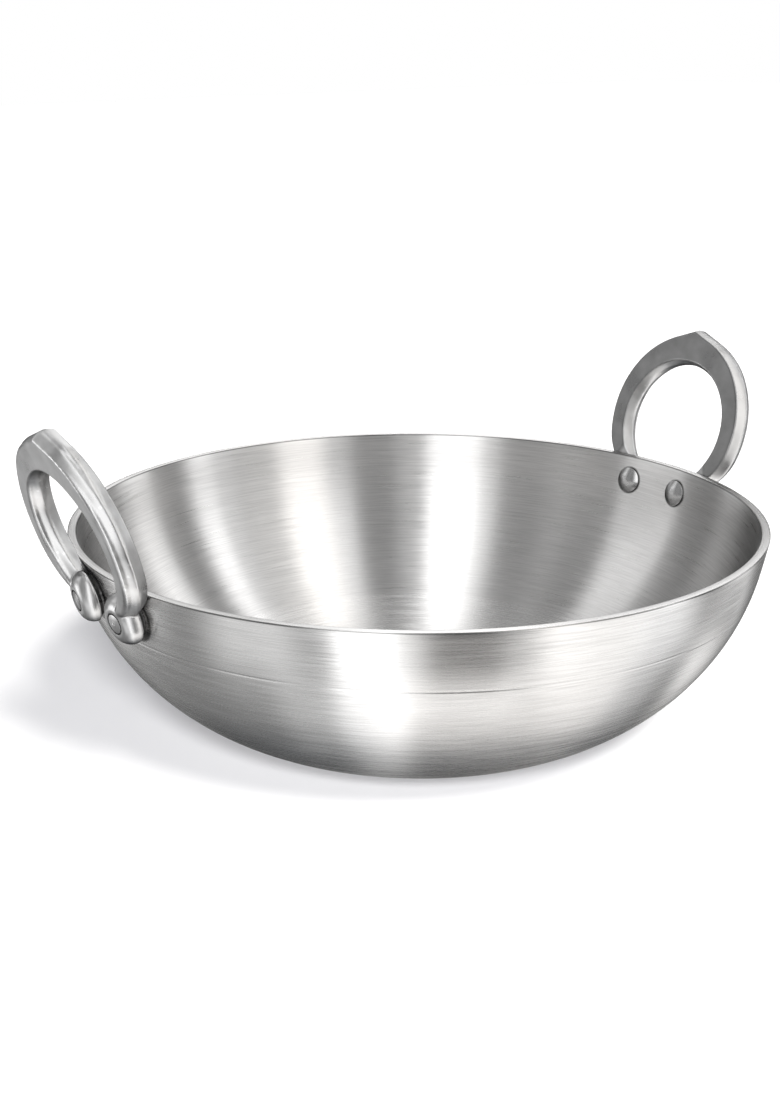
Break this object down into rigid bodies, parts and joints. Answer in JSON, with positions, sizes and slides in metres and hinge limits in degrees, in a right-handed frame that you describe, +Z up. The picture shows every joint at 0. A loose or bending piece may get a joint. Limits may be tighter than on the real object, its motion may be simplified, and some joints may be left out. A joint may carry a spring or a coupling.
{
  "type": "kadai",
  "caption": "Deep round-sided cooking bowl of heavy-gauge brushed metal, with a small flat base and pointed cast loop handles riveted under the rim.",
  "frame": {"origin": "centre of the flat base, on the surface that the bowl stands on", "axes": "+Z up through the middle of the bowl, X through both handles; +X is the right handle, +Y is the back"},
  "size_m": [0.33, 0.2798, 0.1407],
  "materials": {
    "bowl_metal": "satin, brushed in rings round the vertical axis",
    "handle_metal": "cast, tumbled smooth to a semi-bright satin",
    "rivet_metal": "turned, semi-bright"
  },
  "bodies": {
    "root": {"bowl": "bowl_metal", "right_handle": "handle_metal", "left_handle": "handle_metal", "right_back_rivet": "rivet_metal", "right_front_rivet": "rivet_metal", "left_back_rivet": "rivet_metal", "left_front_rivet": "rivet_metal"}
  },
  "joints": []
}
